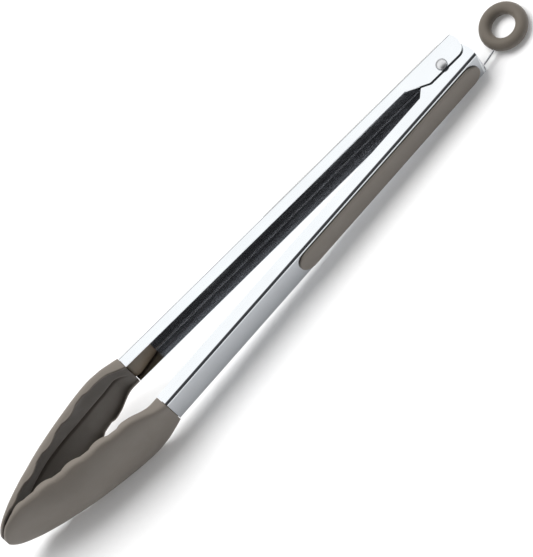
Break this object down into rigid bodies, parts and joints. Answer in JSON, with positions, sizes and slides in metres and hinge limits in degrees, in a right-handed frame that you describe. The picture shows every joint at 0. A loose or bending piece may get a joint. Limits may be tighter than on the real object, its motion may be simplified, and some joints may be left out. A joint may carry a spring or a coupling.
{
  "type": "spring loaded kitchen tongs",
  "caption": "Locking kitchen tongs: folded steel arms on a rivet, wide scalloped soft-covered heads, grip inlays, a torsion spring and a sliding lock with a pull ring.",
  "frame": {"origin": "centre of the pivot rivet's flat lower face, on the rivet's axis", "axes": "+Z along the rivet's axis towards its domed head; +X from the rivet towards the head tips along the centre plane between the arms; +Y towards the lock arm"},
  "size_m": [0.3362, 0.0376, 0.039],
  "materials": {
    "steel": "bright polished stainless sheet",
    "rivet_steel": "bright stainless",
    "spring_steel": "drawn wire",
    "silicone": "warm grey, matte silicone",
    "nylon": "dark brown, satin moulded nylon"
  },
  "bodies": {
    "plain_arm": {"plain_arm_channel": "steel", "plain_arm_grip_inlay": "silicone", "plain_arm_head_core": "nylon", "plain_arm_head_cover": "silicone", "pivot_rivet": "rivet_steel", "pivot_spacer": "spring_steel"},
    "lock_arm": {"lock_arm_channel": "steel", "lock_arm_grip_inlay": "silicone", "lock_arm_head_core": "nylon", "lock_arm_head_cover": "silicone", "torsion_spring": "spring_steel"},
    "lock_slider": {"lock_plate": "rivet_steel"},
    "ring_pull": {"pull_wire": "spring_steel", "pull_ring": "silicone"}
  },
  "joints": [
    {"name": "arm_pivot", "type": "hinge", "parent": "plain_arm", "child": "lock_arm", "pos_m": [0, 0, 0.0102], "axis": [0, 0, 1], "range_deg": [0, 22], "stiffness_Nm_per_rad": 0.8, "springref_deg": 40.11, "deforming": ["torsion_spring"]},
    {"name": "lock_slide", "type": "slide", "parent": "lock_arm", "child": "lock_slider", "axis": [1, 0, 0], "range_m": [0, 0.003]},
    {"name": "ring_swing", "type": "hinge", "parent": "lock_slider", "child": "ring_pull", "pos_m": [-0.0105, 0.0054, 0.0054], "axis": [0, 1, 0], "range_deg": [-6, 30]}
  ]
}
